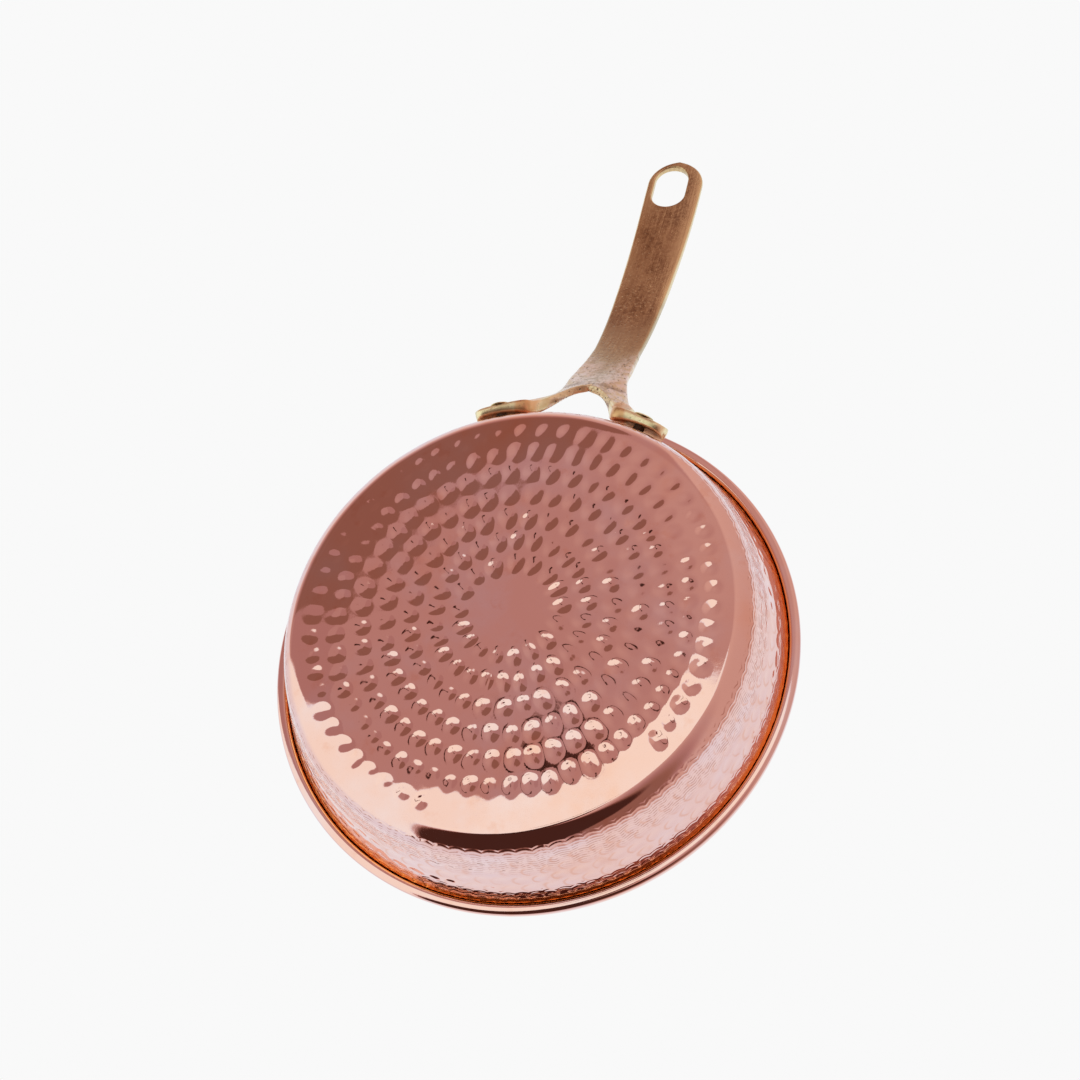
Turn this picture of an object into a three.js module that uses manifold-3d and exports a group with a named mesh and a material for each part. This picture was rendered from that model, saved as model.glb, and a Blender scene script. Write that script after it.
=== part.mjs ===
import * as THREE from 'three';
import { mergeVertices } from 'three/addons/utils/BufferGeometryUtils.js';
import Module from 'manifold-3d';

// A hammered copper frying pan with a forked cast brass handle.
// It stands base down on z = 0 with its axis on Z, and the handle points along +X.
// Lengths are in millimetres and angles in degrees.

// Pan shell: spun and hammered copper sheet
const rimRadius = 120;
const panHeight = 41;
const baseRadius = 96;
const sheet = 1.2;
const shoulderWidth = 12;
const shoulderRise = 1.0;
const creaseAngle = 12;
const knuckleReach = 8.8;
const knuckleHeight = 7.0;
const knuckleSteps = 4;
const turnSegments = 64;

// Rim: the sheet's edge rolled outwards over a wire
const beadRadius = 2.5;
const wireClearance = 0.3;
const curlEndAngle = -150;
const curlSteps = 11;
const wireSides = 6;

// Tin lining on the inside of the copper
const liningClearance = 0.2;
const lining = 0.3;

// Hammer blows on the base, in rings around a bare centre
const firstRingRadius = 22.6;
const ringPitch = 11.2;
const blowCounts = [17, 26, 31, 38, 46, 56, 60];
const blowLength = 10.4;
const blowWidthShare = 0.82;
const blowDepth = 0.4;
const blowTwistShare = 0.38;
const blowSides = 6;

// Feet of the handle, which follow the wall. Their arcs are measured on the wall at the rivets.
const footLow = 8.6;
const footHeight = 11.4;
const footThickness = 7;
const toeThickness = 6.2;
const footClearance = 0.3;
const footLean = 0.6;
const footGap = 2.1;
const footGapPower = 6;
const footEnd = 45.4;
const footLowStart = 20;
const footHighStart = 29.5;
const footCorner = 4.6;
const footCornerShares = [0, 0.3, 0.65, 1];
const footRounding = 1.2;
const footSteps = 4;

// Fork arms, from the feet up to the crotch
const crotchReach = 11.2;
const crotchRise = 27.8;
const crotchSlope = 50;
const archHalfWidth = 12;
const archLean = 2.5;
const archDraw = 4.3;
const archLift = 12;
const heelLean = 8.3;
const heelDraw = 4.5;
const heelDrop = 4;
const armBack = 18;
const armSpread = 5.3;
const armRise = 2.7;
const armThinShare = 0.85;
const armSteps = 8;

// Handle bar, a crowned strip bent in three arcs from the crotch to the tip
const rootLength = 16.2;
const rootBendRadius = 68;
const neckLength = 70.5;
const neckBendRadius = 196;
const gripLength = 117.3;
const gripBendRadius = 368;
const rootWidth = 29.4;
const neckWidth = 25;
const gripWidth = 31;
const neckShares = [0.22, 0.32];
const gripShare = 0.82;
const webLength = 24;
const webSteps = 3;
const barSteps = 9;
const tipRounding = 15.5;
const tipSteps = 5;
const tipEndAngle = 80;
const crotchThickness = 3.9;
const gripThickness = 6.4;
const tipThickness = 4.2;
const edgeThicknessShare = 0.72;
const edgeRounding = 1.1;
const columnShares = [0, 0.3, 0.65, 1];

// Slot near the end of the handle, to hang the pan by
const slotLength = 29;
const slotWidth = 19;
const slotToTip = 3.8;
const slotOffset = -2.3;
const slotSteps = 8;

// Rivets, one through the middle of each foot
const rivetArc = 33.5;
const shankRadius = 2.6;
const shankClearance = 0.3;
const headRadius = 4.6;
const headHeight = 1.7;
const headSeat = 0.3;
const headSteps = 3;
const rivetSegments = 16;
const cutOverrun = 2;

const wasm = await Module();
wasm.setup();

const radians = THREE.MathUtils.degToRad;
const mix = THREE.MathUtils.lerp;
const point2 = (x, y) => new THREE.Vector2(x, y);
const point3 = (x, y, z) => new THREE.Vector3(x, y, z);

// A closed mesh as a solid: shared corners merged, and triangles folded flat at a pole left out
function solidFrom(geometry) {
  const bare = geometry.clone();
  bare.deleteAttribute('normal');
  bare.deleteAttribute('uv');
  const merged = mergeVertices(bare);
  const corners = [];
  for (let i = 0; i < merged.index.count; i += 3) {
    const [a, b, c] = [0, 1, 2].map((k) => merged.index.getX(i + k));
    if (a !== b && b !== c && c !== a) corners.push(a, b, c);
  }
  return new wasm.Manifold(new wasm.Mesh({
    numProp: 3,
    vertProperties: new Float32Array(merged.attributes.position.array),
    triVerts: new Uint32Array(corners),
  }));
}

function geometryFrom(solid) {
  const mesh = solid.getMesh();
  const geometry = new THREE.BufferGeometry();
  geometry.setAttribute('position', new THREE.BufferAttribute(mesh.vertProperties, 3));
  geometry.setIndex(new THREE.BufferAttribute(mesh.triVerts, 1));
  geometry.computeVertexNormals();
  return geometry;
}

// Turns a half section of (radius, height) points about Z
function turned(points, segments = turnSegments) {
  return new THREE.LatheGeometry(points, segments).rotateX(radians(90));
}

// Wall line of the shell's outside, from the knuckle to the bead
const beadCentre = point2(rimRadius - beadRadius, panHeight - beadRadius);
const wallFoot = point2(baseRadius + knuckleReach, shoulderRise + knuckleHeight);
const wallHead = point2(rimRadius - 2 * beadRadius, beadCentre.y);
const wallFlare = (wallHead.x - wallFoot.x) / (wallHead.y - wallFoot.y);
const wallTilt = Math.atan(wallFlare);
const wallRadius = (z) => wallFoot.x + (z - wallFoot.y) * wallFlare;

// Outside of the sheet from the axis over the base, shoulder and knuckle to the foot of the curl
function sheetOutline() {
  const crease = point2(baseRadius, shoulderRise);
  const creaseSlope = Math.tan(radians(creaseAngle));
  const cornerRise = (wallRadius(crease.y) - crease.x) * creaseSlope / (1 - creaseSlope * wallFlare);
  const corner = point2(wallRadius(crease.y + cornerRise), crease.y + cornerRise);
  const knuckle = new THREE.QuadraticBezierCurve(crease, corner, wallFoot);
  const curlFoot = point2(wallRadius(beadCentre.y - sheet), beadCentre.y - sheet);
  return [
    point2(0, 0),
    point2(baseRadius - shoulderWidth, 0),
    ...knuckle.getPoints(knuckleSteps),
    curlFoot,
  ];
}

// The same outline moved inwards through the sheet by a distance
function movedIn(points, distance) {
  return points.map((point, i) => {
    const before = points[Math.max(i - 1, 0)];
    const after = points[Math.min(i + 1, points.length - 1)];
    const arriving = point.clone().sub(i > 0 ? before : point).normalize();
    const leaving = after.clone().sub(i < points.length - 1 ? point : after).normalize();
    const along = arriving.clone().add(leaving).normalize();
    const spread = Math.max(along.dot(i > 0 ? arriving : leaving), 0.5);
    return point2(point.x - along.y * distance / spread, point.y + along.x * distance / spread);
  });
}

// One face of the curl: over the crown, down the outside and back under to the lip
function curlFace(depth) {
  const innerReach = beadRadius + sheet;
  const points = [];
  for (let i = 0; i <= curlSteps; i += 1) {
    const angle = radians(mix(180, curlEndAngle, i / curlSteps));
    const reach = Math.cos(angle) < 0 && Math.sin(angle) >= 0 ? innerReach : beadRadius;
    points.push(point2(
      beadCentre.x + (reach - depth) * Math.cos(angle),
      beadCentre.y + (beadRadius - depth) * Math.sin(angle),
    ));
  }
  return points;
}

// A shallow pointed cutter for one hammer blow, long along the radius
function blowCutter(radius, angle, width) {
  const rise = Math.max(0, radius - (baseRadius - shoulderWidth)) * shoulderRise / shoulderWidth;
  const cutter = new THREE.ConeGeometry(1, 1, blowSides).rotateX(radians(90));
  cutter.scale(blowLength, width, 2 * blowDepth);
  if (rise > 0) cutter.rotateY(-Math.atan2(shoulderRise, shoulderWidth));
  cutter.translate(radius, 0, rise);
  cutter.rotateZ(angle);
  return solidFrom(cutter);
}

function blowCutters() {
  return blowCounts.flatMap((count, ring) => {
    const radius = firstRingRadius + ring * ringPitch;
    const spacing = 2 * Math.PI / count;
    const width = radius * spacing * blowWidthShare;
    const cutters = [];
    for (let i = 0; i < count; i += 1) {
      cutters.push(blowCutter(radius, (i + ring * blowTwistShare) * spacing, width));
    }
    return cutters;
  });
}

// Puts something made along +Z on a rivet's axis, with its zero on the outside of the wall
const rivetHeight = footLow + footHeight / 2;
const angleOf = (arc) => arc / wallRadius(rivetHeight);
function onRivetAxis(geometry, side) {
  geometry.rotateY(Math.PI / 2 + wallTilt);
  geometry.translate(wallRadius(rivetHeight), 0, rivetHeight);
  geometry.rotateZ(side * angleOf(rivetArc));
  return geometry;
}

function rivetHoles() {
  const length = 2 * (footThickness + sheet + cutOverrun);
  return [-1, 1].map((side) => {
    const drill = new THREE.CylinderGeometry(
      shankRadius + shankClearance,
      shankRadius + shankClearance,
      length,
      rivetSegments,
    ).rotateX(radians(90));
    return solidFrom(onRivetAxis(drill, side));
  });
}

function panBody() {
  const outline = sheetOutline();
  const section = [
    ...outline,
    ...curlFace(sheet),
    ...curlFace(0).reverse(),
    ...movedIn(outline, sheet).reverse(),
  ];
  const shell = solidFrom(turned(section));
  return geometryFrom(wasm.Manifold.difference([shell, ...rivetHoles(), ...blowCutters()]));
}

function tinLining() {
  const outline = sheetOutline();
  const outside = movedIn(outline, sheet + liningClearance);
  const inside = movedIn(outline, sheet + liningClearance + lining);
  const skin = solidFrom(turned([...outside, ...inside.reverse()]));
  return geometryFrom(wasm.Manifold.difference([skin, ...rivetHoles()]));
}

function rimWire() {
  const radius = beadRadius - sheet - wireClearance;
  const circle = [];
  for (let i = 0; i <= wireSides; i += 1) {
    const angle = 2 * Math.PI * (i % wireSides) / wireSides;
    circle.push(point2(beadCentre.x + radius * Math.cos(angle), beadCentre.y + radius * Math.sin(angle)));
  }
  return turned(circle);
}

// Handle stations: each is a cut across the strip, from edge a to edge b of its middle surface.
// The normals na and nb point out of the underside, and ta and tb are the thicknesses.

// How far a height is down the foot, from 0 at its upper edge to 1 at its lower edge
const downFoot = (z) => (footLow + footHeight - z) / footHeight;

// A point of the foot's middle surface, by its arc from the handle's plane and its height.
// The gap is what the foot's inner face stands off more than its outer face does.
function footPoint(arc, z, thickness, gap = 0) {
  const standOff = footClearance + footLean * downFoot(z);
  const radius = wallRadius(z) + (standOff + (thickness + gap) / 2) / Math.cos(wallTilt);
  return point3(radius * Math.cos(angleOf(arc)), radius * Math.sin(angleOf(arc)), z);
}

function footNormal(arc) {
  return point3(
    Math.cos(wallTilt) * Math.cos(angleOf(arc)),
    Math.cos(wallTilt) * Math.sin(angleOf(arc)),
    -Math.sin(wallTilt),
  );
}

function footStations() {
  const stations = [];
  const add = (share, trim) => {
    const low = mix(footEnd, footLowStart, share);
    const high = mix(footEnd, footHighStart, share);
    const thickness = mix(toeThickness, footThickness, share);
    const lowEdge = footLow + trim;
    const highEdge = footLow + footHeight - trim;
    const gapAt = (z) => footGap * (1 - share ** footGapPower) * downFoot(z);
    stations.push({
      a: footPoint(low, lowEdge, thickness, gapAt(lowEdge)),
      b: footPoint(high, highEdge, thickness, gapAt(highEdge)),
      na: footNormal(low),
      nb: footNormal(high),
      ta: thickness - gapAt(lowEdge),
      tb: thickness - gapAt(highEdge),
      roundA: footRounding,
      roundB: footRounding,
    });
  };
  const cornerShare = footCorner / (footEnd - footLowStart);
  for (const turn of footCornerShares) {
    const angle = radians(90) * turn;
    add(cornerShare * (1 - Math.cos(angle)), footCorner * (1 - Math.sin(angle)));
  }
  for (let i = 1; i <= footSteps; i += 1) add(mix(cornerShare, 1, i / footSteps), 0);
  return stations;
}

// The bar's middle line, by the length along it from the crotch
const barBends = [
  { length: rootLength, radius: rootBendRadius },
  { length: neckLength, radius: neckBendRadius },
  { length: gripLength, radius: gripBendRadius },
];
const barLength = rootLength + neckLength + gripLength;

function barLine(s) {
  let x = rimRadius + crotchReach;
  let z = crotchRise;
  let slope = radians(crotchSlope);
  let left = s;
  for (const { length, radius } of barBends) {
    const run = Math.min(left, length);
    const end = slope - run / radius;
    x += radius * (Math.sin(slope) - Math.sin(end));
    z += radius * (Math.cos(end) - Math.cos(slope));
    slope = end;
    left -= run;
  }
  return { x, z, slope };
}

const widthCurve = new THREE.SplineCurve([
  point2(rootLength, rootWidth / 2),
  point2(neckShares[0] * barLength, neckWidth / 2),
  point2(neckShares[1] * barLength, neckWidth / 2),
  point2(gripShare * barLength, gripWidth / 2),
  point2(barLength, gripWidth / 2),
]).getPoints(barSteps * 4);

function halfWidthAt(s) {
  const next = widthCurve.findIndex((point) => point.x > s);
  const q = widthCurve.at(next);
  const p = widthCurve.at(next < 0 ? -2 : next - 1);
  const body = mix(p.y, q.y, (s - p.x) / (q.x - p.x));
  const intoTip = Math.max(0, s - (barLength - tipRounding)) / tipRounding;
  return body * Math.sqrt(1 - Math.min(intoTip, 1) ** 2);
}

function thicknessAt(s) {
  const half = barLength / 2;
  if (s < half) return mix(crotchThickness, gripThickness, s / half);
  return mix(gripThickness, tipThickness, (s - half) / half);
}

const underside = (slope) => point3(Math.sin(slope), 0, -Math.cos(slope));

// A station with its middle and its edge at two lengths along the bar
function barStation(middleAt, edgeAt) {
  const middle = barLine(middleAt);
  const edge = barLine(edgeAt);
  const half = halfWidthAt(edgeAt);
  return {
    a: point3(middle.x, 0, middle.z),
    b: point3(edge.x, half, edge.z),
    na: underside(middle.slope),
    nb: underside(edge.slope),
    ta: thicknessAt(middleAt),
    tb: thicknessAt(edgeAt) * edgeThicknessShare,
    roundA: 0,
    roundB: Math.min(edgeRounding, half / 2),
  };
}

// From the fork, where the edges run ahead of the middle, to the tip
function barStations() {
  const stations = [];
  const webEnd = rootLength + webLength;
  const tipStart = barLength - tipRounding;
  for (let i = 0; i < webSteps; i += 1) {
    stations.push(barStation(webEnd * i / webSteps, mix(rootLength, webEnd, i / webSteps)));
  }
  for (let i = 0; i <= barSteps; i += 1) {
    const s = mix(webEnd, tipStart, i / barSteps);
    stations.push(barStation(s, s));
  }
  for (let i = 1; i <= tipSteps; i += 1) {
    const s = tipStart + tipRounding * Math.sin(radians(tipEndAngle) * i / tipSteps);
    stations.push(barStation(s, s));
  }
  return stations;
}

// Arms: the inner edge runs from the foot's lower edge round the arch to the crotch,
// and the outer edge from the foot's upper edge over the heel to the root of the bar
function armStations() {
  const end = barStation(0, rootLength);
  const innerStart = footPoint(footLowStart, footLow, footThickness);
  const outerStart = footPoint(footHighStart, footLow + footHeight, footThickness);
  const inner = new THREE.CubicBezierCurve3(
    innerStart,
    innerStart.clone().add(point3(archLean, -archDraw, archLift)),
    point3(end.a.x, archHalfWidth, end.a.z),
    end.a,
  );
  const outer = new THREE.CubicBezierCurve3(
    outerStart,
    outerStart.clone().add(point3(heelLean, -heelDraw, -heelDrop)),
    end.b.clone().add(point3(-armBack, armSpread, armRise)),
    end.b,
  );
  const stations = [];
  for (let i = 1; i <= armSteps; i += 1) {
    const t = i / armSteps;
    const turn = THREE.MathUtils.smoothstep(t, 0, 1);
    const innerThinning = THREE.MathUtils.smoothstep(t, 0, armThinShare);
    const outerThinning = 1 - (1 - t) ** 2;
    stations.push({
      a: inner.getPoint(t),
      b: outer.getPoint(t),
      na: footNormal(footLowStart).lerp(end.na, turn).normalize(),
      nb: footNormal(footHighStart).lerp(end.nb, turn).normalize(),
      ta: mix(footThickness, end.ta, innerThinning),
      tb: mix(footThickness, end.tb, outerThinning),
      roundA: mix(footRounding, 0, t),
      roundB: mix(footRounding, end.roundB, t),
    });
  }
  return stations;
}

// The surface points of one station, on its +Y half
function halfRing({ a, b, na, nb, ta, tb, roundA, roundB }) {
  const width = a.distanceTo(b);
  const at = (share, depth) => {
    const thickness = mix(ta, tb, share * share);
    const normal = na.clone().lerp(nb, share).normalize();
    return a.clone().lerp(b, share).addScaledVector(normal, thickness / 2 * depth);
  };
  const shares = columnShares.map((share) => mix(roundA / width, 1 - roundB / width, share));
  const side = (share, thickness, round) => {
    const depth = 1 - 2 * round / thickness;
    return [at(share, depth), at(share, -depth)];
  };
  return {
    under: shares.map((share) => at(share, 1)),
    outer: side(1, tb, roundB),
    top: shares.map((share) => at(share, -1)).reverse(),
    inner: side(0, ta, roundA).reverse(),
  };
}

const mirrored = (points) => points.map((point) => point3(point.x, -point.y, point.z));

function armRing(station) {
  const half = halfRing(station);
  return [...half.under, ...half.outer, ...half.top, ...half.inner];
}

function barRing(station) {
  const half = halfRing(station);
  return [
    ...mirrored(half.under).reverse(),
    ...half.under.slice(1),
    ...half.outer,
    ...half.top,
    ...mirrored(half.top).reverse().slice(1),
    ...mirrored(half.outer).reverse(),
  ];
}

// Joins rings of points into a closed skin
function skin(strands) {
  const positions = [];
  const triangle = (...points) => points.forEach((point) => positions.push(point.x, point.y, point.z));
  for (const { rings, caps } of strands) {
    for (let i = 1; i < rings.length; i += 1) {
      const [first, second] = [rings[i - 1], rings[i]];
      first.forEach((point, k) => {
        const next = (k + 1) % first.length;
        triangle(point, first[next], second[next]);
        triangle(point, second[next], second[k]);
      });
    }
    for (const { ring, outward } of caps) {
      for (let k = 2; k < ring.length; k += 1) {
        if (outward) triangle(ring[0], ring[k - 1], ring[k]);
        else triangle(ring[0], ring[k], ring[k - 1]);
      }
    }
  }
  const geometry = new THREE.BufferGeometry();
  geometry.setAttribute('position', new THREE.Float32BufferAttribute(positions, 3));
  return mergeVertices(geometry);
}

function slotCutter() {
  const centre = barLine(barLength - slotToTip - slotLength / 2);
  const straight = slotLength / 2 - slotWidth / 2;
  const outline = new THREE.Shape();
  outline.absarc(straight, 0, slotWidth / 2, -Math.PI / 2, Math.PI / 2);
  outline.absarc(-straight, 0, slotWidth / 2, Math.PI / 2, 3 * Math.PI / 2);
  const depth = 2 * (gripThickness + cutOverrun);
  const cutter = new THREE.ExtrudeGeometry(outline, { depth, bevelEnabled: false, curveSegments: slotSteps });
  cutter.translate(0, 0, -depth / 2).rotateY(-centre.slope).translate(centre.x, slotOffset, centre.z);
  return solidFrom(cutter);
}

function handle() {
  const armRings = [...footStations(), ...armStations()].map(armRing);
  const mirrorRings = armRings.map((ring) => mirrored(ring).reverse());
  const barRings = barStations().map(barRing);
  const body = skin([
    { rings: armRings, caps: [{ ring: armRings[0], outward: false }] },
    { rings: mirrorRings, caps: [{ ring: mirrorRings[0], outward: false }] },
    { rings: barRings, caps: [{ ring: barRings.at(-1), outward: true }] },
  ]);
  return geometryFrom(wasm.Manifold.difference([solidFrom(body), slotCutter(), ...rivetHoles()]));
}

// Rivet: a domed head inside the pan, the shank, and a domed head over the foot
function rivet(side) {
  const inside = -(sheet + liningClearance + lining + headSeat);
  const share = (footEnd - rivetArc) / (footEnd - footLowStart);
  const lean = footLean * (1 / 2 + headRadius / footHeight);
  const outside = footClearance + lean + mix(toeThickness, footThickness, share) + headSeat;
  const dome = (base, direction) => {
    const points = [];
    for (let i = 0; i <= headSteps; i += 1) {
      const angle = radians(90) * i / headSteps;
      points.push(point2(headRadius * Math.sin(angle), base + direction * headHeight * Math.cos(angle)));
    }
    return points;
  };
  const section = [
    ...dome(inside, -1),
    point2(shankRadius, inside),
    point2(shankRadius, outside),
    ...dome(outside, 1).reverse(),
  ];
  return onRivetAxis(turned(section, rivetSegments), side);
}

const copper = new THREE.MeshStandardMaterial({ color: 0xb87263, metalness: 1, roughness: 0.16 });
const tin = new THREE.MeshStandardMaterial({ color: 0xc9c7c2, metalness: 1, roughness: 0.4 });
const steelWire = new THREE.MeshStandardMaterial({ color: 0x8c8c8e, metalness: 1, roughness: 0.5 });
const brass = new THREE.MeshStandardMaterial({ color: 0xa9854c, metalness: 1, roughness: 0.45 });
const rivetBrass = new THREE.MeshStandardMaterial({ color: 0xb08f58, metalness: 1, roughness: 0.4 });

function named(name, geometry, material) {
  const mesh = new THREE.Mesh(geometry, material);
  mesh.name = name;
  return mesh;
}

const pan = new THREE.Group();
pan.add(
  named('pan_body', panBody(), copper),
  named('tin_lining', tinLining(), tin),
  named('rim_wire', rimWire(), steelWire),
  named('handle', handle(), brass),
  named('rivet_left', rivet(-1), rivetBrass),
  named('rivet_right', rivet(1), rivetBrass),
);

export default pan;
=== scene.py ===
import bmesh
import bpy
import math
import numpy as np
from mathutils import Matrix


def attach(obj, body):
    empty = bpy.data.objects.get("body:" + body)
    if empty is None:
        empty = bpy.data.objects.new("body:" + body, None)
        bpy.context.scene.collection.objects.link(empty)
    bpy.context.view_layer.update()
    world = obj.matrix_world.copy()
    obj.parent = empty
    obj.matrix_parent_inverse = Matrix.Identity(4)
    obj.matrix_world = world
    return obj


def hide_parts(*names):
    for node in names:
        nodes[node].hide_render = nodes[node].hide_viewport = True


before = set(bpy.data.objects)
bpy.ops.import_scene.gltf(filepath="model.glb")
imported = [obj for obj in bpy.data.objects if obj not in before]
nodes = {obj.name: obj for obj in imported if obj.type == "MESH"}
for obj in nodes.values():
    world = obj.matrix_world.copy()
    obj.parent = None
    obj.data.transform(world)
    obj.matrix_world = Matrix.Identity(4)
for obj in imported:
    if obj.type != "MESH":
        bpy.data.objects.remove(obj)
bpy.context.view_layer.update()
scene = bpy.context.scene


# Camera
# It looks up at the pan's base from below and to its left, as the photograph does.
def new_object(data):
    thing = bpy.data.objects.new(data.name, data)
    scene.collection.objects.link(thing)
    return thing


camera_data = bpy.data.cameras.new("camera")
camera_data.lens = 45.97
camera_data.sensor_width = 36.0
camera_data.clip_start = 0.02
camera = new_object(camera_data)
camera.location = (-0.212926, 0.190927, -0.512021)
camera.rotation_euler = [math.radians(a) for a in (-151.59549, -13.25522, 76.18321)]
scene.camera = camera
scene.view_settings.view_transform = "Standard"


# Studio
# A pale room with one large soft key light low on one side, and a brown bench, the floor and
# the dark side where the camera stands. The camera itself sees a plain pale background.
class Value:
    """What a node gives out. Plain arithmetic on it lays Math nodes."""

    def __init__(self, socket):
        self.socket = socket
        self.tree = socket.id_data

    def __abs__(self):
        return maths("ABSOLUTE", self)


signs = {"add": "ADD", "sub": "SUBTRACT", "mul": "MULTIPLY", "truediv": "DIVIDE", "pow": "POWER"}
for sign, operation in signs.items():
    setattr(Value, f"__{sign}__", lambda one, other, act=operation: maths(act, one, other))
    setattr(Value, f"__r{sign}__", lambda one, other, act=operation: maths(act, other, one))


def feed(node, inputs):
    """Links a node's inputs to the values given for them, or sets them. A colour is three numbers."""
    for name, source in inputs.items():
        socket = node.inputs[name]
        if isinstance(source, Value):
            node.id_data.links.new(source.socket, socket)
        else:
            socket.default_value = (*source, 1) if socket.type == "RGBA" else source


def place(tree, kind, inputs=None, **settings):
    node = tree.nodes.new(kind)
    for name, setting in settings.items():
        setattr(node, name, setting)
    feed(node, inputs or {})
    return node


def lay(tree, kind, inputs=None, output=0, **settings):
    """Places a node and returns what it gives out."""
    return Value(place(tree, kind, inputs, **settings).outputs[output])


def maths(operation, *terms):
    tree = next(term.tree for term in terms if isinstance(term, Value))
    return lay(tree, "ShaderNodeMath", dict(enumerate(terms)), operation=operation)


def ease(term, low, high, to_low=0.0, to_high=1.0):
    """A smooth step between two places, of which the first can be the higher one."""
    inputs = {"Value": term, "From Min": low, "From Max": high, "To Min": to_low, "To Max": to_high}
    return lay(term.tree, "ShaderNodeMapRange", inputs, interpolation_type="SMOOTHSTEP")


def toward(azimuth, side):
    """1 on the side that is given and -1 on the opposite one."""
    return maths("COSINE", azimuth - side)


def split(vector):
    return [Value(s) for s in place(vector.tree, "ShaderNodeSeparateXYZ", {0: vector}).outputs]


def new_group(name, inputs, outputs, kind="ShaderNodeTree"):
    """A node group, what it is given by name, and the node that takes what it gives out."""
    tree = bpy.data.node_groups.new(name, kind)
    kinds = {float: "NodeSocketFloat", tuple: "NodeSocketVector", str: "NodeSocketGeometry"}
    for side, sockets in (("INPUT", inputs), ("OUTPUT", outputs)):
        for label, default in sockets.items():
            socket = tree.interface.new_socket(label, in_out=side, socket_type=kinds[type(default)])
            if default != "mesh":
                socket.default_value = default
    start = tree.nodes.new("NodeGroupInput")
    given = {label: Value(start.outputs[label]) for label in inputs}
    return tree, given, tree.nodes.new("NodeGroupOutput")


panel_labels = ["Across", "Up", "Centre Across", "Centre Up", "Turn", "Half Length", "Half Width",
                "Softness", "Squareness"]


def make_panel_group():
    tree, given, out = new_group("soft panel", dict.fromkeys(panel_labels, 0.0), {"Mask": 0.0})
    x = given["Across"] - given["Centre Across"]
    y = given["Up"] - given["Centre Up"]
    turn = maths("RADIANS", given["Turn"])
    cosine, sine = maths("COSINE", turn), maths("SINE", turn)
    power = given["Squareness"]
    u = abs((x * cosine + y * sine) / given["Half Length"]) ** power
    v = abs((y * cosine - x * sine) / given["Half Width"]) ** power
    reach = (u + v) ** (1.0 / power)
    feed(out, {"Mask": ease(reach, 1.0 + given["Softness"], 1.0 - given["Softness"])})
    return tree


# Each panel: centre, turn, half sizes, softness, squareness and level. The places are in
# degrees from straight down, laid out flat round it, along X and along Y.
studio_panels = {
    "floor": ((48, -38), 4, (44, 42), 0.05, 6, 0.49),
    "floor glow": ((33, -3), 15, (14, 10), 0.7, 2, 0.56),
    "bench": ((28, -55.6), 232.5, (24, 24), 0.03, 9, 0.29),
    "bench end": ((54.5, -35.9), 20.6, (24, 24), 0.03, 9, 0.29),
    "bench cloth": ((36, -42), 300, (4, 16), 0.5, 3, 0.30),
    "floor by bench": ((6.5, -50), 0, (12.5, 22.5), 0.03, 9, 0.44),
    "camera side shade": ((-36, 30), 145, (40, 26), 0.45, 2, 0.30),
    "key light": ((-28, -53), 0, (36, 38.5), 0.03, 9, 0.98),
    "camera side": ((-44, -5), 195, (36, 27), 0.07, 4, 0.06),
    "key light end": ((6, -8), 46, (18, 5.6), 0.1, 5, 1.0),
    "camera stand": ((-6, -9), 222, (9, 2.6), 0.2, 2, 0.04),
    "stand foot": ((16, -16.4), 315, (2.0, 1.1), 0.3, 3, 0.03),
    "stand pole": ((13.2, -12.8), 134, (4.6, 0.45), 0.3, 4, 0.08),
    "stand cable": ((4, -9), 236, (4, 0.4), 0.3, 4, 0.1),
}
# The plain walls over the panels, and the upper room over them: the degrees from straight
# down over which each takes over, and its levels.
room_fade, high_fade, ceiling_fade = (66, 92), (88, 104), (105, 160)
room_level, room_swing, room_brightest = 0.74, 0.12, 255.0
high_level, high_swing, high_rise = 0.82, 0.01, 0.10
level_colours = [
    (0.0, (0.012, 0.005, 0.004)),
    (0.12, (0.12, 0.05, 0.04)),
    (0.32, (0.32, 0.18, 0.15)),
    (0.45, (0.47, 0.30, 0.31)),
    (0.70, (0.74, 0.60, 0.57)),
    (0.84, (0.88, 1.04, 1.20)),
    (1.0, (1.06, 1.24, 1.22)),
]
brightest = 1.3
background_level = 0.947
hair = 1e-9


def bare_tree(owner):
    owner.use_nodes = True
    owner.node_tree.nodes.clear()
    return owner.node_tree


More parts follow.
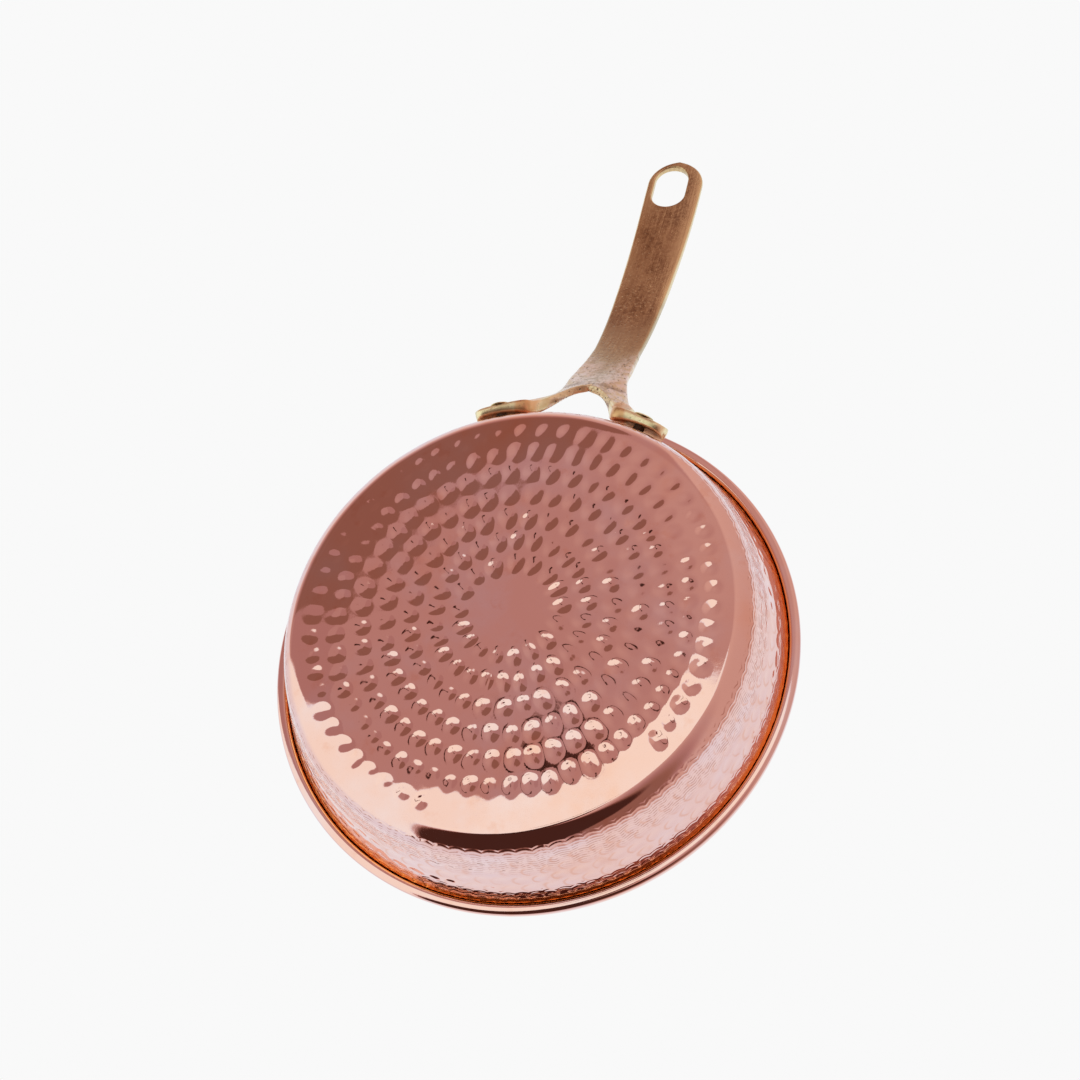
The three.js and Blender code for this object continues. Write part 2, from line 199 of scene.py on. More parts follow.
def make_studio():
    world = bpy.data.worlds.new("studio")
    tree = bare_tree(world)
    x, y, z = split(lay(tree, "ShaderNodeTexCoord", output="Generated"))
    theta = maths("DEGREES", maths("ARCCOSINE", z * -1.0))
    scale = theta / maths("SQRT", x * x + (y * y + hair))
    across, up = x * scale, y * scale
    to_light = toward(maths("ARCTAN2", up, across), math.radians(room_brightest))
    room = to_light * room_swing + room_level
    level = room
    panel = make_panel_group()
    for centre, turn, halves, softness, squareness, panel_level in studio_panels.values():
        shape = (across, up, *centre, turn, *halves, softness, squareness)
        mask = lay(tree, "ShaderNodeGroup", dict(zip(panel_labels, shape)), node_tree=panel)
        level = level + (panel_level - level) * mask
    level = level + (room - level) * ease(theta, *room_fade)
    high = to_light * high_swing + high_level + ease(theta, *ceiling_fade) * high_rise
    level = level + (high - level) * ease(theta, *high_fade)
    colours = place(tree, "ShaderNodeValToRGB", {"Fac": level})
    ramp = colours.color_ramp
    while len(ramp.elements) < len(level_colours):
        ramp.elements.new(0.5)
    for element, (position, colour) in zip(ramp.elements, level_colours):
        element.position = position
        element.color = [c / brightest for c in colour] + [1]
    light = {"Color": Value(colours.outputs["Color"]), "Strength": brightest}
    studio = lay(tree, "ShaderNodeBackground", light)
    plain = lay(tree, "ShaderNodeBackground", {"Color": [background_level] * 3})
    seen = lay(tree, "ShaderNodeLightPath", output="Is Camera Ray")
    shown = lay(tree, "ShaderNodeMixShader", {0: seen, 1: studio, 2: plain})
    place(tree, "ShaderNodeOutputWorld", {"Surface": shown})
    scene.world = world


make_studio()

# A soft lamp that lights the table and the inside of the pan. The copper doesn't mirror it.
lamp_data = bpy.data.lights.new("overhead", "AREA")
lamp_data.shape = "DISK"
lamp_data.size = 1.1
lamp_data.energy = 4.0
lamp = new_object(lamp_data)
lamp.location = (0.15, -0.35, 1.3)
lamp.rotation_euler = (math.radians(15), 0, 0)
lamp.visible_glossy = False


# Floor
# A plain pale table top at the height of the base. Only the camera sees it, and only from
# above, so that the copper doesn't mirror it and a camera below looks up through it.
floor_half, floor_height = 3.0, -0.0002
table_colour = (0.85, 0.79, 0.73)


def make_floor():
    mesh = bpy.data.meshes.new("floor")
    signs = ((-1, -1), (1, -1), (1, 1), (-1, 1))
    corners = [(x * floor_half, y * floor_half, floor_height) for x, y in signs]
    mesh.from_pydata(corners, [], [(0, 1, 2, 3)])
    material = bpy.data.materials.new("pale table")
    tree = bare_tree(material)
    from_above = 1.0 - lay(tree, "ShaderNodeNewGeometry", output="Backfacing")
    seen = lay(tree, "ShaderNodeLightPath", output="Is Camera Ray") * from_above
    lit = lay(tree, "ShaderNodeBsdfDiffuse", {"Color": table_colour})
    clear = lay(tree, "ShaderNodeBsdfTransparent")
    mixed = lay(tree, "ShaderNodeMixShader", {0: seen, 1: clear, 2: lit})
    place(tree, "ShaderNodeOutputMaterial", {"Surface": mixed})
    mesh.materials.append(material)
    floor = new_object(mesh)


make_floor()


# Pan shell
# One disc of copper sheet, spun to a flat base with a low flared wall, its edge rolled out
# and down into a bead. Then the base is hammered in rings from below, and the wall in rows.
rim_radius = 120.0
pan_height = 41.0
base_radius = 96.0
middle_radius, middle_points = 15.0, 6
least_spread = 0.5
sheet = 1.2
shoulder_width = 16.5
shoulder_rise = 1.36
shoulder_bend = 2.5
crease_angle = math.radians(12)
knuckle_reach = 8.8
knuckle_height = 7.0
bead_radius = 2.5
curl_end = -171.0
curl_flat_turn, curl_flat_fade, curl_flat_onset = math.radians(5.5), math.radians(60), 3
curl_squareness = 3.6
curl_draw = 0.977
around = 480
bead_centre = np.array([rim_radius - bead_radius, pan_height - bead_radius])
wall_foot = np.array([base_radius + knuckle_reach, shoulder_rise + knuckle_height])
wall_flare = (rim_radius - 2 * bead_radius - wall_foot[0]) / (bead_centre[1] - wall_foot[1])
wall_tilt = math.atan(wall_flare)


def wall_radius(z):
    return wall_foot[0] + (z - wall_foot[1]) * wall_flare


def base_height(r):
    """The base is flat in the middle and rises from a soft bend to the crease."""
    into = r - (base_radius - shoulder_width)
    slope = shoulder_rise / shoulder_width
    if into < -shoulder_bend:
        return 0.0
    if into < shoulder_bend:
        return slope * (into + shoulder_bend) ** 2 / (4 * shoulder_bend)
    return slope * into


def sheet_outline(base_steps, knuckle_steps, wall_steps):
    rise = (wall_radius(shoulder_rise) - base_radius) * math.tan(crease_angle)
    rise /= 1 - math.tan(crease_angle) * wall_flare
    crease = np.array([base_radius, shoulder_rise])
    corner = np.array([wall_radius(shoulder_rise + rise), shoulder_rise + rise])
    radii = [*np.linspace(0, middle_radius, middle_points),
             *np.linspace(middle_radius, base_radius, base_steps + 1)[1:]]
    points = [(r, base_height(r)) for r in radii]
    for t in np.linspace(0, 1, knuckle_steps + 1)[1:]:
        points.append((1 - t) ** 2 * crease + 2 * t * (1 - t) * corner + t * t * wall_foot)
    curl_foot = bead_centre[1] - sheet
    for z in np.linspace(wall_foot[1], curl_foot, wall_steps + 1)[1:]:
        points.append((wall_radius(z), z))
    return np.array(points, float)


def moved_in(points, distance):
    steps = np.diff(points, axis=0)
    steps /= np.linalg.norm(steps, axis=1)[:, None]
    arriving = np.vstack([steps[:1], steps])
    leaving = np.vstack([steps, steps[-1:]])
    along = arriving + leaving
    along /= np.linalg.norm(along, axis=1)[:, None]
    spread = np.maximum((along * leaving).sum(1), least_spread)
    return points + np.stack([-along[:, 1], along[:, 0]], 1) * (distance / spread)[:, None]


def curl_face(depth, steps):
    """The curl, which the rolling leaves a little flat underneath."""
    angles = np.radians(np.linspace(180, curl_end, steps + 1))
    cosines, sines = np.cos(angles), np.sin(angles)
    inner = (cosines < -hair) & (sines >= -hair)
    reach = np.where(inner, bead_radius + sheet, bead_radius) - depth
    turned = angles - curl_flat_turn
    corners = np.abs(np.cos(turned)) ** curl_squareness + np.abs(np.sin(turned)) ** curl_squareness
    squared = curl_draw * corners ** (-1 / curl_squareness)
    lower = np.clip(-sines * curl_flat_onset, 0, 1) * np.clip((angles + math.pi) / curl_flat_fade, 0, 1)
    swell = 1 + (squared - 1) * lower
    swell = np.minimum(swell, 1.0 / np.maximum(np.abs(cosines), np.abs(sines)))
    return bead_centre + np.stack([reach * cosines, (bead_radius - depth) * sines], 1) * swell[:, None]


def new_mesh(name, points, faces):
    """A mesh in metres of points in millimetres."""
    mesh = bpy.data.meshes.new(name)
    mesh.from_pydata((np.array(points) / 1000).tolist(), [], faces)
    return mesh


def turn_section(name, section, segments, closed=True):
    """Turns a section of (radius, height) points about Z. Gives the mesh and its rows of points."""
    section = np.asarray(section, float)
    angles = np.arange(segments) * 2 * math.pi / segments
    on_axis = section[:, 0] < hair
    rows, points = [], []
    for (r, z), pole in zip(section, on_axis):
        start = len(points)
        if pole:
            points.append((0, 0, z))
            rows.append(np.full(segments, start))
        else:
            points.extend(zip(r * np.cos(angles), r * np.sin(angles), np.full(segments, z)))
            rows.append(np.arange(start, start + segments))
    faces = []
    pairs = list(zip(rows, rows[1:])) + ([(rows[-1], rows[0])] if closed else [])
    for low, high in pairs:
        for quad in zip(low, np.roll(low, -1), np.roll(high, -1), high):
            corners = list(dict.fromkeys(int(corner) for corner in quad))
            if len(corners) > 2:
                faces.append(corners)
    return new_mesh(name, points, faces), rows


def set_attribute(mesh, name, values):
    attribute = mesh.attributes.new(name, "FLOAT", "POINT")
    attribute.data.foreach_set("value", np.asarray(values, np.float32))


def run_length(section):
    return np.concatenate([[0], np.cumsum(np.linalg.norm(np.diff(section, axis=0), axis=1))])


# Hammer blows: each row has its distance along the outline from the axis, its number of blows
# and the azimuth of one of them. The blows stand closer together on one side of the base.
base_rows = [(22.6, 17, 159.0), (33.8, 26, 143.2), (45.0, 31, 146.3), (56.2, 38, 146.3),
             (67.4, 46, 148.9), (78.6, 56, 147.1), (89.8, 60, 144.5)]
wall_rows = [(111.5, 74, 0.0), (117.0, 78, 2.3), (122.5, 82, 0.8), (128.0, 86, 3.0), (133.5, 90, 1.4)]
base_blow = {"Half Length": 5.6, "Depth": 0.64, "Spread": 0.5, "Waver": 0.26, "Light Share": 0.72,
             "Lean": 0.42}
wall_blow = {"Half Length": 3.6, "Depth": 0.11, "Spread": 0.6, "Waver": 0.3, "Light Share": 1.0,
             "Lean": 0.0}
crowding, crowded_side = 0.06, math.radians(145)
hard_side, hard_fade = math.radians(152), (0.1, 0.9)
lean_side = math.radians(215)
# The outermost row is left out over an arc, the outer rows are drawn in over another, and
# over a third one the shoulder begins later.
bare_row, bare_fade = base_rows[-1][0], 0.02
bare_middle, bare_half = math.radians(157), math.radians(33)
drawn_middle, drawn_half, drawn_in, drawn_rows = math.radians(95), math.radians(50), 4.0, (70.0, 90.0)
late_middle, late_half, late_width = math.radians(216), math.radians(30), 8.5
late_core = 0.45 * late_half
drift_scale, swell_scale, least_run = 75.0, 42.0, 20.0


def join(x, y, z=0.0):
    return lay(x.tree, "ShaderNodeCombineXYZ", {0: x, 1: y, 2: z})


def noise(point, scale, detail=2.0, output=0, roughness=0.5):
    inputs = {"Vector": point, "Scale": scale, "Detail": detail, "Roughness": roughness}
    return lay(point.tree, "ShaderNodeTexNoise", inputs, output)


def make_blow_row_group():
    """The depth of one row of blows, by the distance along the outline and the azimuth."""
    labels = ["Run", "Azimuth", "Row", "Count", "Start", "Half Length", "Depth", "Spread", "Waver",
              "Light Share", "Lean", "Seed"]
    tree, given, out = new_group(
        "row of blows", dict.fromkeys(labels, 0.0), {"Depth": 0.0}, "GeometryNodeTree")
    in_row = given["Azimuth"] * (given["Count"] / (2 * math.pi)) + given["Start"]
    key = join(maths("FLOOR", in_row), given["Row"], given["Seed"])
    chance = lay(tree, "ShaderNodeTexWhiteNoise", {"Vector": key}, "Color", noise_dimensions="3D")
    aside, outward, faint = split(chance)
    v = ((aside - 0.5) * given["Waver"] * 0.5 + (maths("FRACT", in_row) - 0.5)) / 0.5
    u = (given["Run"] - given["Row"]) / given["Half Length"] + (outward - 0.5) * given["Waver"]
    lean = maths("MAXIMUM", toward(given["Azimuth"], lean_side), 0.0) * given["Lean"]
    u = u + lean * maths("MAXIMUM", 1.0 - u * u, 0.0)
    left = maths("MAXIMUM", 1.0 - (u * u + v * v), 0.0)
    bowl = left * left * (1.0 - faint * given["Spread"]) * given["Depth"]
    twice_round = toward(given["Azimuth"] * 2.0, 2 * hard_side)
    feed(out, {"Depth": bowl * ease(twice_round, *hard_fade, given["Light Share"], 1.0)})
    return tree


def shoulder_height(run, width):
    """The rise of the shoulder at a distance from the axis, as base_height gives it."""
    past = maths("MAXIMUM", run - (base_radius - width - shoulder_bend), 0.0)
    bend = maths("MINIMUM", past, 2 * shoulder_bend)
    return (bend * bend / (4 * shoulder_bend) + (past - bend)) * (shoulder_rise / width)


def make_hammering_tree(finish):
    """Sinks the blows into the outside of a turned mesh that has run and outside attributes."""
    tree, given, out = new_group(
        "hammering", {"Geometry": "mesh", "Base Strength": 1.0, "Wall Strength": 1.0,
                      "Unevenness": 3.0, "Swell": 0.3, "Seed": 3.0},
        {"Geometry": "mesh"}, "GeometryNodeTree")
    row_group = make_blow_row_group()

    def attribute(name):
        return lay(tree, "GeometryNodeInputNamedAttribute", {"Name": name}, data_type="FLOAT")

    position = lay(tree, "GeometryNodeInputPosition")
    parts = split(position)
    true_azimuth, true_run = maths("ARCTAN2", parts[1], parts[0]), attribute("run")
    azimuth = maths("SINE", true_azimuth - crowded_side) * crowding + true_azimuth
    drift = split(noise(position, drift_scale, 1.0, "Color"))
    run = (drift[0] - 0.5) * given["Unevenness"] + true_run
    drawn = ease(toward(azimuth, drawn_middle), math.cos(drawn_half), 1.0) * ease(run, *drawn_rows)
    run = drawn * drawn_in + run
    bare_end = math.cos(bare_half)
    hammered = ease(toward(azimuth, bare_middle), bare_end + bare_fade, bare_end - bare_fade)
    turn = given["Unevenness"] / maths("MAXIMUM", run, least_run)
    azimuth = (drift[1] - 0.5) * turn + azimuth
    late = ease(toward(true_azimuth, late_middle), math.cos(late_half), math.cos(late_core))
    on_base = maths("MINIMUM", true_run, base_radius)
    lag = shoulder_height(on_base, shoulder_width) - shoulder_height(on_base, late_width)
    total = noise(position, swell_scale, 0.5) * given["Swell"] - lag * late
    for rows, blow, strength in ((base_rows, base_blow, "Base Strength"),
                                 (wall_rows, wall_blow, "Wall Strength")):
        for row, count, first in rows:
            centre = math.radians(first)
            bent = centre + crowding * math.sin(centre - crowded_side)
            start = (0.5 - count * bent / (2 * math.pi)) % 1
            inputs = {"Run": run, "Azimuth": azimuth, "Row": row, "Count": count,
                      "Start": start + count, "Seed": given["Seed"], **blow}
            depth = lay(tree, "GeometryNodeGroup", inputs, node_tree=row_group)
            total = depth * (hammered * given[strength] if row == bare_row else given[strength]) + total
    offset = {0: lay(tree, "GeometryNodeInputNormal"), "Scale": total * attribute("outside") * -0.001}
    sunk = lay(tree, "ShaderNodeVectorMath", offset, operation="SCALE")
    moved = lay(tree, "GeometryNodeSetPosition", {"Geometry": given["Geometry"], "Offset": sunk})
    smooth = lay(tree, "GeometryNodeSetShadeSmooth", {"Geometry": moved})
    real = lay(tree, "GeometryNodeRealizeInstances", {"Geometry": smooth})
    done = lay(tree, "GeometryNodeSetMaterial", {"Geometry": real, "Material": finish})
    feed(out, {"Geometry": done})
    return tree


def run_tree(thing, tree):
    """Runs a Geometry Nodes tree on an object and returns a plain object of what it makes."""
    thing.modifiers.new(tree.name, "NODES").node_group = tree
    evaluated = thing.evaluated_get(bpy.context.evaluated_depsgraph_get())
    mesh = bpy.data.meshes.new_from_object(evaluated)
    plain = thing.data
    name = thing.name
    bpy.data.objects.remove(thing)
    bpy.data.meshes.remove(plain)
    mesh.name = name
    return new_object(mesh)


def make_metal(name, base, roughness):
    material = bpy.data.materials.new(name)
    material.use_nodes = True
    shader = material.node_tree.nodes["Principled BSDF"]
    feed(shader, {"Base Color": base, "Metallic": 1.0, "Roughness": roughness})
    return material, material.node_tree, shader


def finish_metal(shader, colour, roughness, height, distance, strength=1.0):
    relief = {"Height": height, "Distance": distance, "Strength": strength}
    bump = lay(height.tree, "ShaderNodeBump", relief)
    feed(shader, {"Base Color": colour, "Roughness": roughness, "Normal": bump})


def object_point(tree):
    return lay(tree, "ShaderNodeTexCoord", output="Object")


def from_axis(x, y):
    return lay(x.tree, "ShaderNodeVectorMath", {0: join(x, y)}, "Value", operation="LENGTH")


def band(term, rise, fall):
    """A mask that comes in over one pair of places and goes out over another."""
    return ease(term, *rise) * ease(term, *fall)


def make_ripple_group():
    """Fine scalloped ripples round the foot of the wall, where the blows run close together, and
    painted dark reflection lines along their crests.
    """
    upright_stretch, waviness = 6.0, 1.6
    low_fade, high_fade = 0.001, 0.006
    line, unbroken = (0.35, 0.95), (0.42, 0.55)
    labels = ["Low", "High", "Pitch", "Scallops", "Wobble", "Streaks"]
    tree, given, out = new_group(
        "scalloped ripples", dict.fromkeys(labels, 0.0), {"Height": 0.0, "Shade Lines": 0.0})
    position = object_point(tree)
    x, y, z = split(position)
    azimuth = maths("ARCTAN2", y, x)
    upright = join(maths("COSINE", azimuth), maths("SINE", azimuth), z * upright_stretch)
    streaks = noise(upright, given["Scallops"], 1.0)
    scallop = abs(maths("SINE", azimuth * given["Scallops"]))
    phase = z / given["Pitch"] + scallop * given["Wobble"] + noise(position, 45.0) * waviness
    wave = maths("SINE", phase * (2 * math.pi))
    low, high = given["Low"], given["High"]
    fade = band(z, (low, low + low_fade), (high, high - high_fade))
    relief = (streaks - 0.5) * given["Streaks"] + wave
    # Painted reflection: dark lines along the crests of the ripples.
    lines = ease(wave, *line) * (fade * ease(streaks, *unbroken))
    feed(out, {"Height": relief * fade, "Shade Lines": lines})
    return tree


def make_crescent_group():
    """Marks of the wall's hammer blows: a tarnished crescent down one side of each blow."""
    row_shift, row_waver, turn_waver = 0.37, 0.5, 0.6
    ring_radius, ring_half_width, end_fade = 0.4, 0.13, 0.003
    side, patchy = (-0.05, 0.25), (0.28, 0.52)
    tree, given, out = new_group(
        "blow crescents", {"Row Pitch": 0.0054, "Blows": 84.0, "Low": 0.0, "High": 1.0},
        {"Mask": 0.0, "Height": 0.0})
    position = object_point(tree)
    x, y, z = split(position)
    drift = split(noise(position, 110.0, output="Color"))
    rows = drift[0] * row_waver + z / given["Row Pitch"]
    turns = given["Blows"] / (2 * math.pi) * maths("ARCTAN2", y, x)
    turns = drift[1] * turn_waver + (maths("FLOOR", rows) * row_shift + turns)
    u, v = maths("FRACT", rows) - 0.5, maths("FRACT", turns) - 0.5
    squares = u * u + v * v
    ring = ease(abs(maths("SQRT", squares) - ring_radius), ring_half_width, 0.0)
    low, high = given["Low"], given["High"]
    inside = band(z, (low, low + end_fade), (high, high - end_fade))
    patch = ease(noise(position, 60.0), *patchy)
    bowl = maths("MAXIMUM", squares * -4.0 + 1.0, 0.0)
    feed(out, {"Mask": ring * ease(v, *side) * (patch * inside), "Height": bowl * bowl * inside})
    return tree


def make_tone_group():
    """Soft cloudy change of tone, from handling and old polish: a mask from 0 to 1."""
    tree, given, out = new_group(
        "cloudy tone", {"Scale": 30.0, "Low": 0.4, "High": 0.7, "Stretch": (1.0, 1.0, 1.0)},
        {"Mask": 0.0})
    stretch = {0: object_point(tree), 1: given["Stretch"]}
    point = lay(tree, "ShaderNodeVectorMath", stretch, operation="MULTIPLY")
    cloud = noise(point, given["Scale"], 5.0, roughness=0.6)
    feed(out, {"Mask": ease(cloud, given["Low"], given["High"])})
    return tree


ripple_group = make_ripple_group()
crescent_group = make_crescent_group()
tone_group = make_tone_group()


def use_group(tree, group, **inputs):
    """What a node group gives out, in order."""
    return [Value(s) for s in place(tree, "ShaderNodeGroup", inputs, node_tree=group).outputs]


def tone(tree, scale, low, high, stretch=(1.0, 1.0, 1.0)):
    return use_group(tree, tone_group, Scale=scale, Low=low, High=high, Stretch=stretch)[0]


def coated(colour, *coats):
    """A colour under coats, each of them a mask and a colour."""
    for mask, coat in coats:
        inputs = {"Factor": mask, 6: colour, 7: coat}
        colour = lay(mask.tree, "ShaderNodeMix", inputs, 2, data_type="RGBA")
    return colour


copper_colour = (0.88, 0.51, 0.42)
copper_warm = (0.88, 0.44, 0.31)
copper_pink = (0.86, 0.56, 0.51)
copper_tarnish = (0.80, 0.36, 0.24)
# The groove's orange is a painted reflection of copper mirrored in copper.
copper_groove_reflection = (1.0, 0.62, 0.36)
# The ripple lines' colour is a painted dark reflection on the ripple crests.
copper_ripple_shade = (0.50, 0.20, 0.14)
stain_share, crescent_share, ripple_shade_share = 0.35, 0.6, 0.75
groove_foot, groove_side, wall_side = (0.0345, 0.0362), (0.1166, 0.1152), (0.1162, 0.1148)
copper_polish, copper_haze, groove_dullness = 0.025, 0.05, 0.1
foot_ripple_height, crescent_height, wave_height = 1.8, -7.0, 0.3
copper_relief = 0.000016


def make_copper():
    material, tree, shader = make_metal("planished copper", copper_colour, 0.035)
    x, y, z = split(object_point(tree))
    radius = from_axis(x, y)
    warm = tone(tree, 14.0, 0.52, 0.72)
    pink = tone(tree, 22.0, 0.42, 0.68, stretch=(1.0, 1.0, 2.0))
    stain = tone(tree, 75.0, 0.57, 0.7)
    crescents, bowls = use_group(tree, crescent_group, Low=0.009, High=0.036)
    # The ripples at the foot of the wall also give dark lines along their crests, a painted reflection.
    foot, foot_ripple_shade = use_group(tree, ripple_group, Low=0.0036, High=0.0205, Pitch=0.00125,
                                 Scallops=47.0, Wobble=0.55, Streaks=4.5)
    head = use_group(tree, ripple_group, Low=0.0285, High=0.044, Pitch=0.0016, Scallops=61.0,
                     Wobble=0.5, Streaks=2.0)[0]
    # The groove under the bead is painted a brighter orange, a painted reflection of the copper in
    # itself. The same mask makes the groove a little duller.
    groove = ease(z, *groove_foot) * ease(radius, *groove_side)
    colour = coated(copper_colour, (warm, copper_warm), (pink, copper_pink),
                    (stain * stain_share, copper_tarnish), (crescents * crescent_share, copper_tarnish),
                    (foot_ripple_shade * ripple_shade_share, copper_ripple_shade), (groove, copper_groove_reflection))
    haze = tone(tree, 60.0, 0.35, 0.8) * copper_haze + copper_polish
    height = foot * foot_ripple_height + head * ease(radius, *wall_side) + bowls * crescent_height
    height = tone(tree, 240.0, 0.2, 0.8) * wave_height + height
    finish_metal(shader, colour, groove * groove_dullness + haze, height, copper_relief)
    return material


def make_shell():
    outline = sheet_outline(base_steps=85, knuckle_steps=12, wall_steps=32)
    inside = moved_in(sheet_outline(base_steps=8, knuckle_steps=5, wall_steps=3), sheet)
    section = np.vstack([outline, curl_face(sheet, 10), curl_face(0, 34)[::-1], inside[::-1]])
    mesh, rows = turn_section("copper_shell", section, around)
    run = np.zeros(len(mesh.vertices))
    outside = np.zeros(len(mesh.vertices))
    for number, (row, length) in enumerate(zip(rows, run_length(section))):
        run[row] = length
        outside[row] = number < len(outline) - 1
    set_attribute(mesh, "run", run)
    set_attribute(mesh, "outside", outside)
    shell = run_tree(new_object(mesh), make_hammering_tree(make_copper()))
    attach(shell, "root")
    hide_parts("pan_body")


make_shell()


# Tin lining
# A thin coat of tin wiped over the hot copper inside, up to the foot of the bead. It keeps
# the arcs of the wiping rag, and is duller than the copper.
lining_clearance = 0.2
lining = 0.3
tin_bright = (0.82, 0.79, 0.74)
tin_dull = (0.60, 0.58, 0.55)
tin_yellow = (0.74, 0.70, 0.62)
ring_stretch, stroke_scale = 9.0, 55.0


def shade_smooth(mesh):
    mesh.polygons.foreach_set("use_smooth", [True] * len(mesh.polygons))


def make_tin():
    """Tin keeps the swirls of the rag it was wiped with, in arcs round the middle."""
    material, tree, shader = make_metal("wiped tin", tin_bright, 0.32)
    x, y, z = split(object_point(tree))
    wiped = noise(join(from_axis(x, y) * ring_stretch, x, y), stroke_scale, 5.0, roughness=0.65)
    strokes = ease(wiped, 0.35, 0.65)
    cloud = tone(tree, 26.0, 0.35, 0.7)
    colour = coated(tin_dull, (strokes, tin_bright), (cloud * 0.5, tin_yellow))
    finish_metal(shader, colour, cloud * 0.08 + (strokes * -0.12 + 0.4), wiped, 0.00015)
    return material


def make_lining():
    outline = sheet_outline(base_steps=20, knuckle_steps=6, wall_steps=8)
    outside = moved_in(outline, sheet + lining_clearance)
    inside = moved_in(outline, sheet + lining_clearance + lining)
    mesh = turn_section("tin_coat", np.vstack([outside, inside[::-1]]), 192)[0]
    coat = new_object(mesh)
    mesh.materials.append(make_tin())
    shade_smooth(mesh)
    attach(coat, "root")
    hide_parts("tin_lining")


make_lining()


# Rim wire
# A plain drawn iron wire that the bead is rolled over. It can't be seen in the closed bead.
wire_bright = (0.52, 0.51, 0.50)
wire_rust = (0.30, 0.17, 0.10)


def finish_rim_wire():
    material, tree, shader = make_metal("drawn wire", wire_bright, 0.5)
    rust = tone(tree, 90.0, 0.5, 0.7)
    colour = coated(wire_bright, (rust, wire_rust))
    finish_metal(shader, colour, rust * 0.3 + 0.4, rust, 0.0001, 0.6)
    wire = nodes["rim_wire"].data.materials
    if len(wire):
        wire[0] = material
    else:
        wire.append(material)


finish_rim_wire()


# Handle
# One sand-cast brass part: a crowned grip with a slot to hang it by, a neck, and a fork of
# two arms that end in feet on the pan's wall. Its edges are filed round, and then polished.
foot_low, foot_height = 8.6, 11.4
foot_high = foot_low + foot_height
foot_thickness, toe_thickness = 7.0, 6.2
foot_clearance, foot_lean = 0.3, 0.6
foot_gap, foot_gap_power = 2.1, 6
foot_end, foot_low_start, foot_high_start = 45.4, 20.0, 29.5
foot_corner, foot_rounding = 4.6, 1.2
crotch_reach, crotch_rise, crotch_slope = 11.2, 27.8, math.radians(50)
arch_half_width, arch_lean, arch_draw, arch_lift = 12.0, 2.5, 4.3, 12.0
heel_lean, heel_draw, heel_drop = 8.3, 4.5, 4.0
arm_back, arm_spread, arm_rise, arm_thin_share = 18.0, 4.0, 2.7, 0.85
root_length, root_width = 16.2, 29.4
root_back, root_splay = 9, 1.6
bar_bends = [(root_length, 68.0), (70.5, 196.0), (117.3, 368.0)]
bar_length = sum(length for length, radius in bar_bends)
neck_width, grip_width = 25.0, 31.0
neck_shares, grip_share = (0.22, 0.32), 0.82
web_length = 24.0
web_end = root_length + web_length
tip_rounding, tip_roundness = 15.5, math.sin(math.radians(80))
tip_start, tip_reach = bar_length - tip_rounding, tip_rounding * tip_roundness
crotch_thickness, grip_thickness, tip_thickness = 3.9, 6.4, 4.17
edge_share, edge_rounding, least_edge_rounding = 0.72, 1.1, 0.6
slot_length, slot_width, slot_to_tip, slot_offset = 29.0, 19.0, 3.8, -2.3
slot_rounding, slot_margin = 0.9, 5.0
least_half_width = 1e-6
columns = 15
fillet_steps = 4
fillet_turn = [math.pi / 2 * k / fillet_steps for k in range(fillet_steps + 1)]
fillet = [(1 - math.sin(a), 1 - math.cos(a)) for a in fillet_turn]
fork_reach = 0.152
fork_softenings = 10
rivet_height = foot_low + foot_height / 2


def unit(v):
    return v / np.linalg.norm(v)


def mix(a, b, t):
    return a + (b - a) * t


def smooth_step(t, low=0.0, high=1.0):
    t = min(max((t - low) / (high - low), 0.0), 1.0)
    return t * t * (3 - 2 * t)


def angle_of(arc):
    return arc / wall_radius(rivet_height)


def down_foot(z):
    return (foot_high - z) / foot_height


def round_wall(arc, radius, z):
    return np.array([radius * math.cos(angle_of(arc)), radius * math.sin(angle_of(arc)), z])


def foot_point(arc, z, thickness, gap=0.0):
    stand_off = foot_clearance + foot_lean * down_foot(z)
    radius = wall_radius(z) + (stand_off + (thickness + gap) / 2) / math.cos(wall_tilt)
    return round_wall(arc, radius, z)


def foot_normal(arc):
    return round_wall(arc, math.cos(wall_tilt), -math.sin(wall_tilt))


# Each station is a section across the casting: its inner and outer edges a and b, and at each
# of them the way out on the under side, the thickness and the rounding.
def foot_stations(corner_steps=8, steps=14):
    stations = []

    def add(share, trim):
        low, high = mix(foot_end, foot_low_start, share), mix(foot_end, foot_high_start, share)
        thickness = mix(toe_thickness, foot_thickness, share)
        low_edge, high_edge = foot_low + trim, foot_high - trim
        gaps = [foot_gap * (1 - share ** foot_gap_power) * down_foot(z) for z in (low_edge, high_edge)]
        stations.append(dict(
            a=foot_point(low, low_edge, thickness, gaps[0]), na=foot_normal(low),
            b=foot_point(high, high_edge, thickness, gaps[1]), nb=foot_normal(high),
            ta=thickness - gaps[0], tb=thickness - gaps[1],
            round_a=foot_rounding, round_b=foot_rounding))

    corner_share = foot_corner / (foot_end - foot_low_start)
    for turn in np.linspace(0, math.pi / 2, corner_steps + 1):
        add(corner_share * (1 - math.cos(turn)), foot_corner * (1 - math.sin(turn)))
    for i in range(1, steps + 1):
        add(mix(corner_share, 1, i / steps), 0.0)
    return stations


def bar_line(s):
    """The middle of the bar at a distance along it, and its slope there."""
    x, z, slope, left = rim_radius + crotch_reach, crotch_rise, crotch_slope, s
    for length, radius in bar_bends:
        run = min(left, length)
        end = slope - run / radius
        x += radius * (math.sin(slope) - math.sin(end))
        z += radius * (math.cos(end) - math.cos(slope))
        slope, left = end, left - run
    return x, z, slope


